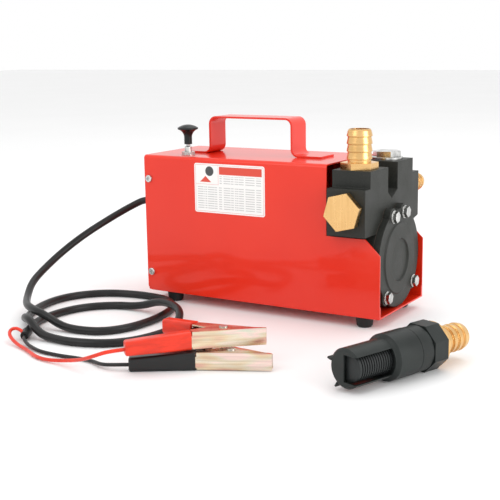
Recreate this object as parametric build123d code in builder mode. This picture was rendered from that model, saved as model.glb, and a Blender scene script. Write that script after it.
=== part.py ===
"""Portable 12 V fluid transfer pump with its battery clamps and suction strainer.

Row frame: origin on the floor under the middle of the cabinet, +X along the cabinet towards the
pump head, +Y towards the back, +Z up. Sizes are in millimetres.
"""
from build123d import *
from math import atan2, cos, degrees, radians, sin, tan
import os

os.makedirs("parts", exist_ok=True)

# ---------------------------------------------------------------- driving dimensions
cabinet_length = 280.0
cabinet_depth = 110.0
cabinet_height = 150.0
sheet = 1.5
foot_height = 11.0
lid_length = 222.0
notch_height = 79.0            # above the cabinet's bottom
cradle_drop = 15.5             # the cradle's corner is cut back by this much
fit_gap = 0.1                  # between sheets that lie on each other
thread_gap = 0.05
running_gap = 0.05

shaft_height = 63.0            # pump and motor axis above the floor
shaft_radius = 6.0
motor_radius = 44.0
motor_left_x = -44.0

body_left_x = 88.0
body_right_x = 129.0
port_x = 108.0                 # the hose ports and plugs stand on this line
body_disc_radius = 50.0
bolt_circle = 47.0
cover_bolt_angles = (110.0, 77.0, -41.0, -132.0)
chamber_radius = 27.5
chamber_drop = 3.2             # eccentricity of the chamber under the shaft
rotor_radius = 24.0
vane_count = 5

cable_radius = 4.0
wire_radius = 1.7
clamp_height = 15.5
strainer_axis_height = 20.4

left_x = -cabinet_length / 2
right_x = cabinet_length / 2
front_y = -cabinet_depth / 2
back_y = cabinet_depth / 2
floor_z = foot_height
lid_z = foot_height + cabinet_height
lid_end_x = left_x + lid_length
notch_z = foot_height + notch_height
inner_front_y = front_y + sheet + fit_gap


def save(piece, name):
    """Label a finished sub-part and write its STEP file."""
    piece.part.label = name
    export_step(piece.part, f"parts/{name}.step")


def profile_plane(base):
    """Plane for a turned profile: local x is the radius, local y runs along base's normal."""
    return Plane(origin=base.origin, x_dir=base.x_dir, z_dir=-base.y_dir)


def hexagon(across_flats, rotation=0.0):
    """A hexagon in the current sketch, sized across its flats."""
    RegularPolygon(radius=across_flats / 2, side_count=6, major_radius=False, rotation=rotation)


def turned(base, outline):
    """Turn a closed (radius, height) outline about base's normal, in the current part."""
    with BuildSketch(profile_plane(base)) as profile:
        with BuildLine():
            Polyline(*outline, close=True)
        make_face()
    revolve(profile.sketch, axis=Axis(base.origin, base.z_dir))


def spring(base, radius, wire, length, turns):
    """A helical spring whose wire stays inside the given free length."""
    pitch = (length - 2 * wire) / turns
    start = base.offset(wire).origin
    with BuildPart() as coil:
        with BuildLine() as path:
            Helix(pitch, pitch * turns, radius, center=start, direction=base.z_dir)
        with BuildSketch(Plane(origin=path.wires()[0] @ 0, z_dir=path.wires()[0] % 0)):
            Circle(wire)
        sweep(path=path.wires()[0], is_frenet=True)
    return coil


def bearing(base, outer_radius, inner_radius, width):
    """A shielded ball bearing ring with its shields set back, in the current part."""
    with BuildSketch(base) as ring:
        Circle(outer_radius)
        Circle(inner_radius, mode=Mode.SUBTRACT)
    extrude(ring.sketch, amount=width)
    shield = 0.6
    for face_plane in (base, base.offset(width - shield)):
        with BuildSketch(face_plane) as recess:
            Circle(outer_radius - 2.5)
            Circle(inner_radius + 2.5, mode=Mode.SUBTRACT)
        extrude(recess.sketch, amount=shield, mode=Mode.SUBTRACT)


# ---------------------------------------------------------------- cabinet
screw_x = left_x + 6.0
screw_heights = (floor_z + 21.0, floor_z + 124.3)
screw_hole_radius = 2.1
switch_x, switch_y = -95.0, -35.0
switch_bush_radius = 4.0
foot_centres = [(x, y) for x in (-110.5, 119.5) for y in (-44.5, 44.5)]
foot_hole_radius = 2.1
gland_z = 104.0
gland_radius = 8.0
saddle_bolt_x = (-8.0, 44.0)
saddle_hole_radius = 2.6

with BuildPart() as base_tray:
    with BuildSketch(Plane.XY.offset(floor_z)):
        with Locations(((left_x + right_x) / 2, 0)):
            Rectangle(cabinet_length, 2 * abs(inner_front_y))
    extrude(amount=sheet)
    with BuildSketch(Plane.YZ.offset(left_x)):
        with Locations((0, floor_z + (cabinet_height - sheet - fit_gap) / 2)):
            Rectangle(2 * abs(inner_front_y), cabinet_height - sheet - fit_gap)
        fillet(vertices().group_by(Axis.Y)[-1], 3)
    extrude(amount=sheet)
    flange = 12.0
    for side in (-1, 1):
        outer_face = Plane.XZ.offset(side * inner_front_y)
        with BuildSketch(outer_face):
            with Locations((left_x + flange / 2, floor_z + 74)):
                Rectangle(flange, 140)
            with Locations((0, floor_z + flange / 2)):
                Rectangle(cabinet_length, flange)
        extrude(amount=side * sheet)
    with BuildSketch(Plane.XZ):
        with Locations(*[(screw_x, z) for z in screw_heights]):
            Circle(screw_hole_radius)
    extrude(amount=cabinet_depth, both=True, mode=Mode.SUBTRACT)
    with BuildSketch(Plane.XY.offset(floor_z)):
        with Locations(*foot_centres):
            Circle(foot_hole_radius)
        with Locations(*[(x, y) for x in saddle_bolt_x for y in (-18, 18)]):
            Circle(saddle_hole_radius)
    extrude(amount=sheet, mode=Mode.SUBTRACT)
    with BuildSketch(Plane.YZ.offset(left_x)):
        with Locations((0, gland_z)):
            Circle(gland_radius + 0.1)
    extrude(amount=sheet, mode=Mode.SUBTRACT)
    fillet(base_tray.edges().filter_by(Axis.Y).group_by(Axis.Z)[0].sort_by(Axis.X)[0], 1.0)
save(base_tray, "base_tray")

with BuildPart() as cabinet_cover:
    fold = 4.0
    with BuildSketch(Plane.YZ.offset(left_x)):
        with Locations((0, floor_z + cabinet_height / 2)):
            Rectangle(cabinet_depth, cabinet_height)
    extrude(amount=cabinet_length)
    fillet(cabinet_cover.edges().filter_by(Axis.X).group_by(Axis.Z)[-1], fold)
    with BuildSketch(Plane.YZ.offset(left_x)):
        with Locations((0, floor_z + (cabinet_height - sheet) / 2)):
            Rectangle(cabinet_depth - 2 * sheet, cabinet_height - sheet)
        fillet(vertices().group_by(Axis.Y)[-1], fold - sheet)
    extrude(amount=cabinet_length, mode=Mode.SUBTRACT)
    with BuildSketch(Plane.XZ):
        with BuildLine():
            Polyline(
                (lid_end_x, lid_z + 1),
                (lid_end_x, notch_z),
                (right_x - cradle_drop - 0.5, notch_z),
                (right_x + 1, notch_z - cradle_drop - 1),
                (right_x + 1, lid_z + 1),
                close=True,
            )
        make_face()
    extrude(amount=cabinet_depth, both=True, mode=Mode.SUBTRACT)
    with BuildSketch(Plane.XZ):
        with Locations(*[(screw_x, z) for z in screw_heights]):
            Circle(screw_hole_radius)
        with BuildLine():
            Polyline(
                (left_x, floor_z), (left_x + 4, floor_z), (left_x, floor_z + 4), close=True
            )
        make_face()
    extrude(amount=cabinet_depth, both=True, mode=Mode.SUBTRACT)
    with BuildSketch(Plane.XY.offset(lid_z - sheet)):
        with Locations((switch_x, switch_y)):
            Circle(switch_bush_radius + 0.1)
    extrude(amount=sheet, mode=Mode.SUBTRACT)
save(cabinet_cover, "cabinet_cover")

with BuildPart() as cover_screws:
    head_radius, head_height = 4.0, 2.4
    for side in (-1, 1):
        for z in screw_heights:
            seat = Plane(origin=(screw_x, side * back_y, z), x_dir=(1, 0, 0), z_dir=(0, side, 0))
            with BuildSketch(seat):
                Circle(head_radius)
            extrude(amount=head_height)
            with BuildSketch(seat):
                Circle(screw_hole_radius - thread_gap)
            extrude(amount=-8)
            with BuildSketch(seat.offset(head_height)):
                Rectangle(4.4, 0.9)
                Rectangle(0.9, 4.4)
            extrude(amount=-1.3, mode=Mode.SUBTRACT)
    rims = cover_screws.edges().filter_by(GeomType.CIRCLE)
    rims = rims.filter_by(lambda e: abs(abs(e.center().Y) - back_y - head_height) < 0.01)
    fillet(rims, 1.0)
save(cover_screws, "cover_screws")

with BuildPart() as carry_handle:
    strap, strap_width = 2.0, 30.0
    grip_length, grip_height = 103.0, 40.5
    grip_x = lid_end_x - lid_length / 2 - 0.5
    foot_reach = 34.0
    leg = grip_length / 2 - strap / 2
    with BuildSketch(Plane.XZ):
        with BuildLine():
            FilletPolyline(
                (grip_x - leg - foot_reach, lid_z + strap / 2),
                (grip_x - leg, lid_z + strap / 2),
                (grip_x - leg, lid_z + grip_height - strap / 2),
                (grip_x + leg, lid_z + grip_height - strap / 2),
                (grip_x + leg, lid_z + strap / 2),
                (grip_x + leg + foot_reach, lid_z + strap / 2),
                radius=7.5,
            )
        trace(line_width=strap)
    extrude(amount=strap_width / 2, both=True)
save(carry_handle, "carry_handle")

with BuildPart() as rubber_feet:
    for x, y in foot_centres:
        sole = Plane(origin=(x, y, 0))
        turned(sole, [(2.2, 3.5), (5, 3.5), (5, 0), (6.6, 0), (8.2, 1.6), (9, floor_z), (2.2, floor_z)])
save(rubber_feet, "rubber_feet")

with BuildPart() as foot_screws:
    for x, y in foot_centres:
        turned(
            Plane(origin=(x, y, 0)),
            [(0, 1.2), (3.2, 1.2), (3.8, 2), (3.8, 3.5), (2.05, 3.5), (2.05, 18), (0, 18)],
        )
save(foot_screws, "foot_screws")

with BuildPart() as info_label:
    with BuildSketch(Plane.XZ.offset(-front_y)):
        with Locations((-31, floor_z + 118.4)):
            RectangleRounded(86, 52, 2.5)
    extrude(amount=0.3)
save(info_label, "info_label")

# ---------------------------------------------------------------- pull switch
switch_axis = Plane(origin=(switch_x, switch_y, 0))
plunger_radius = 2.0
plunger_bore = plunger_radius + running_gap

with BuildPart() as pull_switch:
    bush_top = lid_z + 9.5
    with BuildSketch(switch_axis.offset(lid_z - sheet - 24)):
        RectangleRounded(26, 20, 2)
    extrude(amount=24)
    with BuildSketch(switch_axis.offset(lid_z - sheet)):
        Circle(switch_bush_radius)
    extrude(amount=bush_top - lid_z + sheet)
    chamfer(pull_switch.edges().filter_by(GeomType.CIRCLE).sort_by(Axis.Z)[-1], 0.8)
    with BuildSketch(switch_axis.offset(lid_z - 18)):
        Circle(plunger_bore)
    extrude(amount=40, mode=Mode.SUBTRACT)
    with BuildSketch(switch_axis.offset(lid_z - sheet - 24)):
        with GridLocations(14, 0, 2, 1):
            Rectangle(1, 6)
    extrude(amount=-8)
save(pull_switch, "pull_switch")

with BuildPart() as switch_nut:
    with BuildSketch(switch_axis.offset(lid_z)):
        Circle(7.2)
        Circle(switch_bush_radius + thread_gap, mode=Mode.SUBTRACT)
    extrude(amount=0.8)
    with BuildSketch(switch_axis.offset(lid_z + 0.8)):
        hexagon(12.5, rotation=30)
        Circle(switch_bush_radius + thread_gap, mode=Mode.SUBTRACT)
    extrude(amount=2.6)
save(switch_nut, "switch_nut")

with BuildPart() as switch_plunger:
    with BuildSketch(switch_axis.offset(lid_z - 14)):
        Circle(plunger_radius)
    extrude(amount=32)
save(switch_plunger, "switch_plunger")

with BuildPart() as pull_knob:
    knob_z = bush_top + 2
    with BuildSketch(profile_plane(switch_axis)):
        with BuildLine():
            Polyline((0, knob_z), (4.25, knob_z), (4.25, knob_z + 8))
            ThreePointArc((4.25, knob_z + 8), (6.4, knob_z + 13), (11, knob_z + 16))
            Line((11, knob_z + 16), (11, knob_z + 17.6))
            TangentArc((0, knob_z + 21), (11, knob_z + 17.6), tangent=(1, 0))
            Line((0, knob_z + 21), (0, knob_z))
        make_face()
    revolve(axis=Axis(switch_axis.origin, (0, 0, 1)))
    with BuildSketch(switch_axis.offset(knob_z)):
        Circle(plunger_radius)
    extrude(amount=lid_z + 18 - knob_z, mode=Mode.SUBTRACT)
save(pull_knob, "pull_knob")

# ---------------------------------------------------------------- motor
def across_x(x):
    """Plane across the shaft at x, facing +X, centred on the shaft."""
    return Plane(origin=(x, 0, shaft_height), x_dir=(0, 1, 0), z_dir=(1, 0, 0))


can_wall = 3.0
bell_left_x = motor_left_x - 8
bearing_radius = 16.0
motor_bolt_offset = 38.0
motor_bolt_radius = 2.5
brush_side = 8.0

with BuildPart() as motor_can:
    with BuildSketch(across_x(motor_left_x)):
        Circle(motor_radius)
        Circle(motor_radius - can_wall, mode=Mode.SUBTRACT)
    extrude(amount=body_left_x - motor_left_x)
save(motor_can, "motor_can")

with BuildPart() as motor_end_bell:
    turned(
        across_x(0),
        [
            (bearing_radius, bell_left_x + 2),
            (shaft_radius + 2, bell_left_x + 2),
            (shaft_radius + 2, bell_left_x),
            (motor_radius - 3, bell_left_x),
            (motor_radius, bell_left_x + 3),
            (motor_radius, motor_left_x),
            (motor_radius - can_wall - fit_gap, motor_left_x),
            (motor_radius - can_wall - fit_gap, motor_left_x + 4),
            (20, motor_left_x + 4),
            (20, motor_left_x + 2),
            (bearing_radius, motor_left_x + 2),
        ],
    )
    with BuildSketch(across_x(bell_left_x)):
        with Locations((0, motor_bolt_offset), (0, -motor_bolt_offset)):
            Circle(motor_bolt_radius + fit_gap)
    extrude(amount=20, mode=Mode.SUBTRACT)
save(motor_end_bell, "motor_end_bell")

with BuildPart() as motor_magnets:
    with BuildSketch(across_x(-12)):
        Circle(motor_radius - can_wall)
        Circle(31.5, mode=Mode.SUBTRACT)
        Rectangle(46, 100, mode=Mode.SUBTRACT)
    extrude(amount=76)
save(motor_magnets, "motor_magnets")

with BuildPart() as motor_bolts:
    with BuildSketch(across_x(bell_left_x)):
        with Locations((0, motor_bolt_offset), (0, -motor_bolt_offset)):
            hexagon(8)
    extrude(amount=-3.5)
    with BuildSketch(across_x(bell_left_x)):
        with Locations((0, motor_bolt_offset), (0, -motor_bolt_offset)):
            Circle(motor_bolt_radius)
    extrude(amount=body_left_x + 10 - bell_left_x)
save(motor_bolts, "motor_bolts")

with BuildPart() as drive_shaft:
    with BuildSketch(across_x(bell_left_x + 3)):
        Circle(shaft_radius)
    extrude(amount=body_right_x + 4.5 - bell_left_x - 3)
save(drive_shaft, "drive_shaft")

with BuildPart() as armature:
    with BuildSketch(across_x(-10)):
        Circle(30.5)
        Circle(shaft_radius, mode=Mode.SUBTRACT)
        with PolarLocations(27.5, 12):
            Rectangle(7, 3, mode=Mode.SUBTRACT)
    extrude(amount=72)
save(armature, "armature")

with BuildPart() as commutator:
    with BuildSketch(across_x(-32)):
        Circle(14)
        Circle(shaft_radius, mode=Mode.SUBTRACT)
        with PolarLocations(13.5, 24):
            Rectangle(1.4, 0.5, mode=Mode.SUBTRACT)
    extrude(amount=20)
save(commutator, "commutator")

with BuildPart() as carbon_brushes:
    for side in (-1, 1):
        with Locations((-22, side * 22.1, shaft_height)):
            Box(brush_side, 16, brush_side)
save(carbon_brushes, "carbon_brushes")

with BuildPart() as shaft_bearings:
    for x in (bell_left_x + 2, body_left_x):
        bearing(across_x(x), bearing_radius, shaft_radius + running_gap, 8)
save(shaft_bearings, "shaft_bearings")

with BuildPart() as motor_saddle:
    with BuildSketch(Plane.YZ.offset(-20)):
        with Locations((0, floor_z + sheet + 6)):
            Rectangle(52, 12)
        with Locations((0, shaft_height)):
            Circle(motor_radius, mode=Mode.SUBTRACT)
    extrude(amount=76)
    with BuildSketch(Plane.XY.offset(floor_z + sheet)):
        with Locations(*[(x, y) for x in saddle_bolt_x for y in (-18, 18)]):
            Circle(saddle_hole_radius - 0.2)
    extrude(amount=8, mode=Mode.SUBTRACT)
save(motor_saddle, "motor_saddle")

with BuildPart() as saddle_bolts:
    with BuildSketch(Plane.XY.offset(floor_z)):
        with Locations(*[(x, y) for x in saddle_bolt_x for y in (-18, 18)]):
            hexagon(8)
    extrude(amount=-3.5)
    with BuildSketch(Plane.XY.offset(floor_z)):
        with Locations(*[(x, y) for x in saddle_bolt_x for y in (-18, 18)]):
            Circle(saddle_hole_radius - 0.25)
    extrude(amount=9)
save(saddle_bolts, "saddle_bolts")

# ---------------------------------------------------------------- pump head
block_front_y, block_back_y = -66.0, 66.0
shoulder_z = 139.3
front_tower_z, back_tower_z = 156.0, 159.0
inlet_y, prime_y = -34.5, 31.0
bypass_z = 118.0
outlet_z = 126.0
thread_radius = 12.0
bypass_radius = 13.0
outlet_thread_radius = 8.5
bypass_seat_y = -22.0
bolt_points = [
    (bolt_circle * cos(radians(a)), bolt_circle * sin(radians(a))) for a in cover_bolt_angles
]
ear_radius = 8.5

with BuildPart() as pump_body:
    with BuildSketch(Plane.YZ.offset(body_left_x)) as outline:
        with BuildLine():
            Polyline(
                (block_front_y, 93), (block_front_y, shoulder_z), (-54, shoulder_z),
                (-54, front_tower_z), (-12.5, front_tower_z), (-12.5, 131), (-3.2, 123.7),
                (11, 131.7), (11, back_tower_z), (50, back_tower_z), (50, 144),
                (block_back_y, 144), (block_back_y, 97), (49, 93), close=True,
            )
        make_face()
        with Locations((0, shaft_height)):
            Circle(body_disc_radius)
            with Locations(*bolt_points):
                Circle(ear_radius)
    extrude(amount=body_right_x - body_left_x)
    with BuildSketch(across_x(body_right_x)):
        with Locations((0, -chamber_drop)):
            Circle(chamber_radius)
    extrude(amount=-28, mode=Mode.SUBTRACT)
    with BuildSketch(across_x(body_left_x)):
        Circle(bearing_radius)
    extrude(amount=8, mode=Mode.SUBTRACT)
    with BuildSketch(across_x(body_left_x)):
        Circle(13)
    extrude(amount=20, mode=Mode.SUBTRACT)
    with BuildSketch(across_x(body_left_x)):
        with Locations((0, motor_bolt_offset), (0, -motor_bolt_offset)):
            Circle(motor_bolt_radius + thread_gap)
    extrude(amount=11, mode=Mode.SUBTRACT)
    with BuildSketch(across_x(body_right_x)):
        with Locations(*bolt_points):
            Circle(3 + thread_gap)
    extrude(amount=-16, mode=Mode.SUBTRACT)
    for port_y, top_z in ((inlet_y, front_tower_z), (prime_y, back_tower_z)):
        with BuildSketch(Plane(origin=(port_x, port_y, top_z))):
            Circle(thread_radius + thread_gap)
        extrude(amount=-12, mode=Mode.SUBTRACT)
        with BuildSketch(Plane(origin=(port_x, port_y, top_z))):
            Circle(9)
        extrude(amount=shaft_height - 5 - top_z, mode=Mode.SUBTRACT)
        with BuildSketch(Plane(origin=(115, port_y, shaft_height), x_dir=(1, 0, 0), z_dir=(0, -port_y, 0))):
            Circle(8)
        extrude(amount=14, mode=Mode.SUBTRACT)
    with BuildSketch(Plane(origin=(port_x, block_front_y, bypass_z), x_dir=(1, 0, 0), z_dir=(0, 1, 0))):
        Circle(bypass_radius + thread_gap)
    extrude(amount=bypass_seat_y - block_front_y, mode=Mode.SUBTRACT)
    with BuildSketch(Plane(origin=(port_x, bypass_seat_y, bypass_z - 4), x_dir=(1, 0, 0), z_dir=(0, 1, 0))):
        Circle(4)
    extrude(amount=prime_y - bypass_seat_y, mode=Mode.SUBTRACT)
    with BuildSketch(Plane(origin=(port_x, block_back_y, outlet_z), x_dir=(1, 0, 0), z_dir=(0, 1, 0))):
        Circle(outlet_thread_radius + thread_gap)
    extrude(amount=-12, mode=Mode.SUBTRACT)
    with BuildSketch(Plane(origin=(port_x, block_back_y, outlet_z), x_dir=(1, 0, 0), z_dir=(0, 1, 0))):
        Circle(6.5)
    extrude(amount=prime_y - block_back_y, mode=Mode.SUBTRACT)
save(pump_body, "pump_body")

with BuildPart() as shaft_seal:
    with BuildSketch(across_x(body_left_x + 8)):
        Circle(13)
        Circle(shaft_radius + running_gap, mode=Mode.SUBTRACT)
    extrude(amount=5)
save(shaft_seal, "shaft_seal")

slot_width, slot_depth = 2.2, 10.0
rotor_x, rotor_width = body_right_x - 27.8, 27.6
with BuildPart() as pump_rotor:
    with BuildSketch(across_x(rotor_x)):
        Circle(rotor_radius)
        Circle(shaft_radius, mode=Mode.SUBTRACT)
        with PolarLocations(rotor_radius - slot_depth / 2 + 0.5, vane_count):
            Rectangle(slot_depth + 1, slot_width, mode=Mode.SUBTRACT)
    extrude(amount=rotor_width)
save(pump_rotor, "pump_rotor")

with BuildPart() as pump_vanes:
    with BuildSketch(across_x(rotor_x)):
        with PolarLocations(rotor_radius - slot_depth / 2 - 0.1, vane_count):
            Rectangle(slot_depth - 0.2, slot_width - 0.1)
    extrude(amount=rotor_width)
save(pump_vanes, "pump_vanes")


def cover_outline():
    """The pump cover's round outline with an ear at each bolt, in the current sketch."""
    Circle(body_disc_radius + 0.2)
    with Locations(*bolt_points):
        Circle(ear_radius)
    with Locations(*bolt_points):
        Circle(3.2, mode=Mode.SUBTRACT)


gasket_thickness = 0.5
cover_x = body_right_x + gasket_thickness
cover_thickness = 7.0
with BuildPart() as cover_gasket:
    with BuildSketch(across_x(body_right_x)):
        cover_outline()
        with Locations((0, -chamber_drop)):
            Circle(chamber_radius, mode=Mode.SUBTRACT)
    extrude(amount=gasket_thickness)
save(cover_gasket, "cover_gasket")

with BuildPart() as pump_cover:
    with BuildSketch(across_x(cover_x)):
        cover_outline()
    extrude(amount=cover_thickness)
    with BuildSketch(across_x(cover_x + cover_thickness)):
        Circle(37)
    extrude(amount=1.2, taper=40)
    with BuildSketch(across_x(cover_x + cover_thickness + 1.2)):
        with Locations((0, -2)):
            Circle(22)
    extrude(amount=-1.6, taper=30, mode=Mode.SUBTRACT)
    with BuildSketch(across_x(cover_x)):
        Circle(shaft_radius + running_gap)
    extrude(amount=4.6, mode=Mode.SUBTRACT)
save(pump_cover, "pump_cover")

with BuildPart() as cover_bolts:
    seat_x = cover_x + cover_thickness
    with BuildSketch(across_x(seat_x)):
        with Locations(*bolt_points):
            Circle(6.5)
    extrude(amount=1.4)
    with BuildSketch(across_x(seat_x + 1.4)):
        with Locations(*bolt_points):
            hexagon(10, rotation=15)
    extrude(amount=4)
    with BuildSketch(across_x(seat_x)):
        with Locations(*bolt_points):
            Circle(3)
    extrude(amount=-20)
save(cover_bolts, "cover_bolts")

# ---------------------------------------------------------------- bypass valve
front_port = Plane(origin=(port_x, block_front_y, bypass_z), x_dir=(1, 0, 0), z_dir=(0, -1, 0))
stem_radius = 4.0
with BuildPart() as bypass_washer:
    with BuildSketch(front_port):
        Circle(17)
        Circle(bypass_radius + fit_gap, mode=Mode.SUBTRACT)
    extrude(amount=1.5)
save(bypass_washer, "bypass_washer")

with BuildPart() as bypass_plug:
    with BuildSketch(front_port.offset(1.5)):
        hexagon(34, rotation=-46)
    extrude(amount=7.5)
    with BuildSketch(front_port.offset(1.5)):
        Circle(bypass_radius)
    extrude(amount=-13.5)
    with BuildSketch(front_port.offset(-12)):
        Circle(9)
    extrude(amount=4, mode=Mode.SUBTRACT)
    with BuildSketch(front_port.offset(-12)):
        Circle(stem_radius + running_gap)
    extrude(amount=16, mode=Mode.SUBTRACT)
save(bypass_plug, "bypass_plug")

with BuildPart() as bypass_poppet:
    seat_depth = bypass_seat_y - block_front_y
    with BuildSketch(front_port.offset(-seat_depth)):
        Circle(10)
    extrude(amount=3)
    with BuildSketch(front_port.offset(-seat_depth)):
        Circle(stem_radius)
    extrude(amount=seat_depth - 3)
save(bypass_poppet, "bypass_poppet")

bypass_spring = spring(front_port.offset(3 - seat_depth), 6.5, 0.8, seat_depth - 3 - 8, 6)
save(bypass_spring, "bypass_spring")

# ---------------------------------------------------------------- hose tails and priming plug
barb_pitch = 7.4


def hose_tail(base, hex_size, hex_height, hex_turn, barb_radius, bore, length, barbs, shank):
    """A barbed hose tail on its hexagon, with a threaded shank of (radius, depth) below base."""
    valley = barb_radius - 1.1
    tip = length - barbs * barb_pitch
    outline = [(bore, -shank[1]), (shank[0], -shank[1]), (shank[0], 0), (valley, 0), (valley, tip)]
    for count in range(barbs):
        foot = tip + count * barb_pitch
        outline += [(barb_radius, foot + 0.5), (barb_radius - 0.1, foot + 1.6)]
        if count < barbs - 1:
            outline += [(valley, foot + barb_pitch - 0.4), (valley, foot + barb_pitch)]
    outline += [(valley, length - 1.6), (valley - 1, length), (bore, length)]
    with BuildPart() as tail:
        turned(base, outline)
        with BuildSketch(base):
            hexagon(hex_size, rotation=hex_turn)
            Circle(bore, mode=Mode.SUBTRACT)
        extrude(amount=hex_height)
    return tail


top_port = Plane(origin=(port_x, inlet_y, front_tower_z))
inlet_tail = hose_tail(top_port, 32.5, 6.5, 30, 12.7, 9.5, 39, 4, (thread_radius, 11))
save(inlet_tail, "inlet_tail")

back_port = Plane(origin=(port_x, block_back_y, outlet_z), x_dir=(1, 0, 0), z_dir=(0, 1, 0))
outlet_tail = hose_tail(back_port, 27, 7, 0, 10, 6.5, 49, 5, (outlet_thread_radius, 11))
save(outlet_tail, "outlet_tail")

prime_port = Plane(origin=(port_x, prime_y, back_tower_z))
with BuildPart() as priming_washer:
    with BuildSketch(prime_port):
        Circle(16.5)
        Circle(thread_radius + fit_gap, mode=Mode.SUBTRACT)
    extrude(amount=2.5)
save(priming_washer, "priming_washer")

with BuildPart() as priming_plug:
    with BuildSketch(prime_port.offset(2.5)):
        hexagon(25.5, rotation=10)
    extrude(amount=6)
    with BuildSketch(prime_port.offset(2.5)):
        Circle(thread_radius)
    extrude(amount=-13)
save(priming_plug, "priming_plug")

# ---------------------------------------------------------------- cable, gland and wires
gland_axis = Plane(origin=(left_x, 0, gland_z), x_dir=(0, 1, 0), z_dir=(-1, 0, 0))
gland_mouth = 26.0
gland_bore = cable_radius + 0.05
with BuildPart() as cable_gland:
    outline = [(gland_bore, -9), (gland_radius, -9), (gland_radius, 0), (9, 0), (9, 5)]
    for ring in range(4):
        rib = 6.5 + 4.6 * ring
        outline += [(8.4 - 0.6 * ring, rib), (8.2 - 0.6 * ring, rib + 2.4), (7.2 - 0.6 * ring, rib + 2.8)]
    outline += [(5.4, gland_mouth - 0.5), (5, gland_mouth), (gland_bore, gland_mouth)]
    turned(gland_axis, outline)
    with BuildSketch(gland_axis):
        hexagon(19)
        Circle(8, mode=Mode.SUBTRACT)
    extrude(amount=5)
save(cable_gland, "cable_gland")

def corner_radii(points, share=0.45):
    """The arc at each corner: 0.45 of its shorter run over the tangent of half the turn."""
    radii = []
    for before, corner, after in zip(points, points[1:], points[2:]):
        arriving, leaving = Vector(*corner) - Vector(*before), Vector(*after) - Vector(*corner)
        turn = radians(arriving.get_angle(leaving))
        radii.append(share * min(arriving.length, leaving.length) / tan(turn / 2))
    return radii


def tube(points, radius, name):
    """A round tube along straight runs joined by tangent arcs; prints its arcs and its volume."""
    radii = corner_radii(points)
    with BuildPart() as body:
        with BuildLine() as path:
            FilletPolyline(*points, radius=radii)
        route = path.wires()[0]
        with BuildSketch(Plane(origin=route @ 0, z_dir=route % 0)):
            Circle(radius)
        sweep(path=route)
    ideal = 3.14159265 * radius**2 * route.length
    print(f"{name}: length {route.length:.0f}, least arc {min(radii):.0f}, "
          f"volume/ideal {body.part.volume / ideal:.4f}")
    return body


# The cable drops from the gland to the floor, lies in two loose turns and ends in the breakout.
cable_route = [
    (-131, 0, 104), (-177, 0, 104), (-193, -13, 95), (-208, -39, 81.5), (-221, -67, 67),
    (-232, -91, 51.5), (-236, -115, 38), (-234, -140, 26.5), (-220, -163, 17), (-200, -186, 16),
    (-178, -200, 17), (-157, -204, 14), (-137, -203, 5), (-115, -203, 4), (-91, -196, 4),
    (-77, -174, 4), (-73, -146, 4), (-75, -116, 4), (-84, -85, 4), (-108, -61, 4),
    (-149, -57, 4), (-188, -67, 4), (-211, -91, 4), (-219, -119, 4), (-215, -148, 4),
    (-204, -175, 4), (-189, -199, 4.5), (-169, -221, 15.4), (-152, -231, 16), (-135, -237, 6),
    (-117, -237, 4), (-95, -238, 4), (-66, -229, 4), (-47, -212, 4), (-37, -184, 4),
    (-33, -153, 5), (-46, -125, 15.8), (-84, -105.5, 15.8), (-116, -103, 5), (-146, -108, 4),
    (-170, -130, 4), (-179, -162, 4), (-176, -193, 4), (-165, -218, 4), (-150, -240, 5.2),
]
positive_route = [
    (-147.3, -243.9, 5.4), (-154.8, -243.0, 10), (-161, -247, 10.8), (-158.5, -254.5, 8.3),
    (-150, -260, 5.3), (-136, -266, 2.5), (-119, -272, 2), (-97.5, -284, 2), (-83, -287.5, 2.2),
    (-66, -287, 3.5), (-50, -288.5, 6.5), (-34, -293, 11), (-18, -297, 17.5), (-4.1, -290.1, 22.7),
    (16, -267.9, 22.7),
]
negative_route = [
    (-145.8, -246.2, 5.5), (-141, -253.3, 5.5), (-131, -259.5, 2.5), (-117, -265.5, 2),
    (-103, -270.5, 2), (-79, -271.5, 2), (-57.5, -269, 2), (-42, -270, 2.2), (-27, -276.5, 3),
    (-10, -277.6, 5.5), (15.2, -261.3, 5.5),
]
power_cable = tube(cable_route, cable_radius, "power_cable")
save(power_cable, "power_cable")
positive_wire = tube(positive_route, wire_radius, "positive_wire")
save(positive_wire, "positive_wire")
negative_wire = tube(negative_route, wire_radius, "negative_wire")
save(negative_wire, "negative_wire")


def run_plane(start, end):
    """The plane at start that faces along the run to end."""
    return Plane(origin=start, z_dir=(Vector(*end) - Vector(*start)).normalized())


with BuildPart() as cable_breakout:
    cable_end = cable_route[-1]
    breakout_axis = run_plane(cable_end, Vector(*cable_end) * 2 - Vector(*cable_route[-2]))
    with BuildSketch(breakout_axis.offset(-6)):
        Circle(4.9)
    with BuildSketch(breakout_axis.offset(9.5)):
        Circle(4)
    loft()
    with BuildSketch(breakout_axis.offset(-6)):
        Circle(gland_bore)
    extrude(amount=6, mode=Mode.SUBTRACT)
    for route in (positive_route, negative_route):
        with BuildSketch(run_plane(route[0], route[1])):
            Circle(wire_radius + thread_gap)
        extrude(amount=12, mode=Mode.SUBTRACT)
save(cable_breakout, "cable_breakout")

# ---------------------------------------------------------------- battery clamps
web = 1.2
heel, tip = (-25.0, -19.0), (38.0, -2.0)
grip_way = Vector(-49, -19.6).normalized()
lever_way = Vector(-27, 16.7).normalized()
metal_length = 44.0
grip_metal = (1.6, 11.8)
lever_lift = web + 0.3
channel_depth = 9.0
rivet_radius = 2.0
clamp_places = {
    "positive": (61.0, -212.5, 18.0, 26.0),
    "negative": (73.0, -219.5, 0.8, 11.0),
}


def clamp_plane(polarity):
    """The plane of a clamp's underside: origin at its rivet, x towards the tips."""
    x, y, z, turn = clamp_places[polarity]
    return Plane(origin=(x, y, z), x_dir=(cos(radians(turn)), sin(radians(turn)), 0))


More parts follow.
